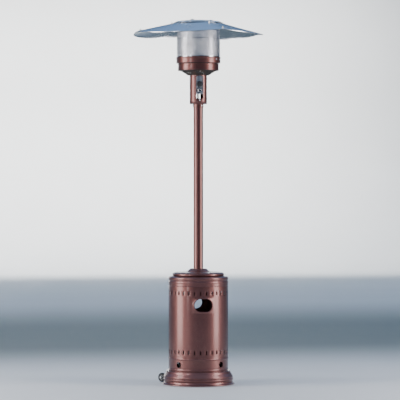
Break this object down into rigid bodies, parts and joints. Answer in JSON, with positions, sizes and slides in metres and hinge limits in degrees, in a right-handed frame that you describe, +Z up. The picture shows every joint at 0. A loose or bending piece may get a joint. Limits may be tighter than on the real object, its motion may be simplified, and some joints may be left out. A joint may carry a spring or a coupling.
{
  "type": "patio heater",
  "caption": "Free-standing gas patio heater: round base with transport wheels, lift-off cylinder housing, tall post, burner head and dished reflector.",
  "frame": {"origin": "on the floor at the centre of the round base, on the post's axis", "axes": "+Z up along the post; the front, with the gas knob and the hand hole, faces -Y; +X is to the right for someone who faces the front"},
  "size_m": [0.81, 0.81, 2.2784],
  "materials": {
    "bronze_paint": "fine metallic hammered satin",
    "polished_aluminium": "polished spun sheet",
    "screen_steel": "perforated brushed stainless",
    "burner_steel": "dark heat-tinted perforated sheet",
    "zinc_steel": "zinc plated",
    "chrome": "bright chrome",
    "black_plastic": "fine moulded grain",
    "brass": "machined",
    "cast_iron": "rough cast, black paint",
    "rubber": "matt",
    "hub_grey": "light grey moulded",
    "trim_grey": "pale grey edging",
    "aluminium_cast": "cast, tumbled"
  },
  "bodies": {
    "stand": {"base_cover": "bronze_paint", "ballast_plate": "cast_iron", "base_edge_trim": "trim_grey", "support_leg_right": "zinc_steel", "support_leg_left_rear": "zinc_steel", "support_leg_left_front": "zinc_steel", "post_mount_plate": "zinc_steel", "post_tube": "bronze_paint", "frame_bolts": "zinc_steel", "frame_nuts": "zinc_steel", "head_socket": "bronze_paint", "control_housing": "bronze_paint", "control_plate": "zinc_steel", "gas_valve_body": "aluminium_cast", "igniter_body": "black_plastic", "tilt_switch": "black_plastic", "main_orifice": "brass", "venturi": "zinc_steel", "burner_head": "burner_steel", "pilot_burner": "brass", "pilot_gas_tube": "aluminium_cast", "thermocouple": "brass", "ignition_lead": "rubber", "burner_bowl": "burner_steel", "lower_band": "bronze_paint", "burner_deck": "burner_steel", "upper_band": "bronze_paint", "head_screws": "zinc_steel", "emitter_screen": "screen_steel", "emitter_top_plate": "screen_steel", "reflector_panel_1": "polished_aluminium", "reflector_panel_2": "polished_aluminium", "reflector_panel_3": "polished_aluminium", "reflector_panel_4": "polished_aluminium", "panel_bolts": "zinc_steel", "panel_nuts": "zinc_steel", "reflector_cap": "polished_aluminium", "reflector_support_plate": "screen_steel", "reflector_studs": "zinc_steel", "reflector_spacers": "zinc_steel", "wing_nuts": "zinc_steel", "wheel_bracket": "bronze_paint", "wheel_axle": "zinc_steel", "gas_hose": "rubber", "regulator_body": "aluminium_cast", "regulator_hook": "zinc_steel"},
    "housing": {"housing_body": "bronze_paint", "housing_lid": "bronze_paint", "neck_collar": "bronze_paint", "neck_bush": "black_plastic"},
    "valve_press": {"press_sleeve": "brass"},
    "knob": {"valve_stem": "brass", "control_knob": "black_plastic"},
    "igniter": {"igniter_button": "chrome"},
    "wheel_left": {"wheel_hub_left": "hub_grey", "tyre_left": "rubber"},
    "wheel_right": {"wheel_hub_right": "hub_grey", "tyre_right": "rubber"},
    "coupling": {"regulator_nut": "black_plastic"}
  },
  "joints": [
    {"name": "housing_lift", "type": "slide", "parent": "stand", "child": "housing", "axis": [0, 0, 1], "range_m": [0, 0.5]},
    {"name": "valve_press_slide", "type": "slide", "parent": "stand", "child": "valve_press", "axis": [0, 1, 0], "range_m": [0, 0.004], "stiffness_N_per_m": 1500, "springref_m": -0.003},
    {"name": "knob_turn", "type": "hinge", "parent": "valve_press", "child": "knob", "pos_m": [0, -0.04, 1.8753], "axis": [0, 1, 0], "range_deg": [0, 200]},
    {"name": "igniter_press", "type": "slide", "parent": "stand", "child": "igniter", "axis": [0, 1, 0], "range_m": [0, 0.005], "stiffness_N_per_m": 1500, "springref_m": -0.003},
    {"name": "wheel_left_spin", "type": "hinge", "parent": "stand", "child": "wheel_left", "pos_m": [-0.14401, 0.19821, 0.0315], "axis": [-0.809, -0.5878, 0], "continuous": true},
    {"name": "wheel_right_spin", "type": "hinge", "parent": "stand", "child": "wheel_right", "pos_m": [-0.14401, 0.19821, 0.0315], "axis": [-0.809, -0.5878, 0], "continuous": true},
    {"name": "coupling_turn", "type": "hinge", "parent": "stand", "child": "coupling", "pos_m": [0.105, 0, 0.5013], "axis": [0, 0, 1], "continuous": true}
  ]
}
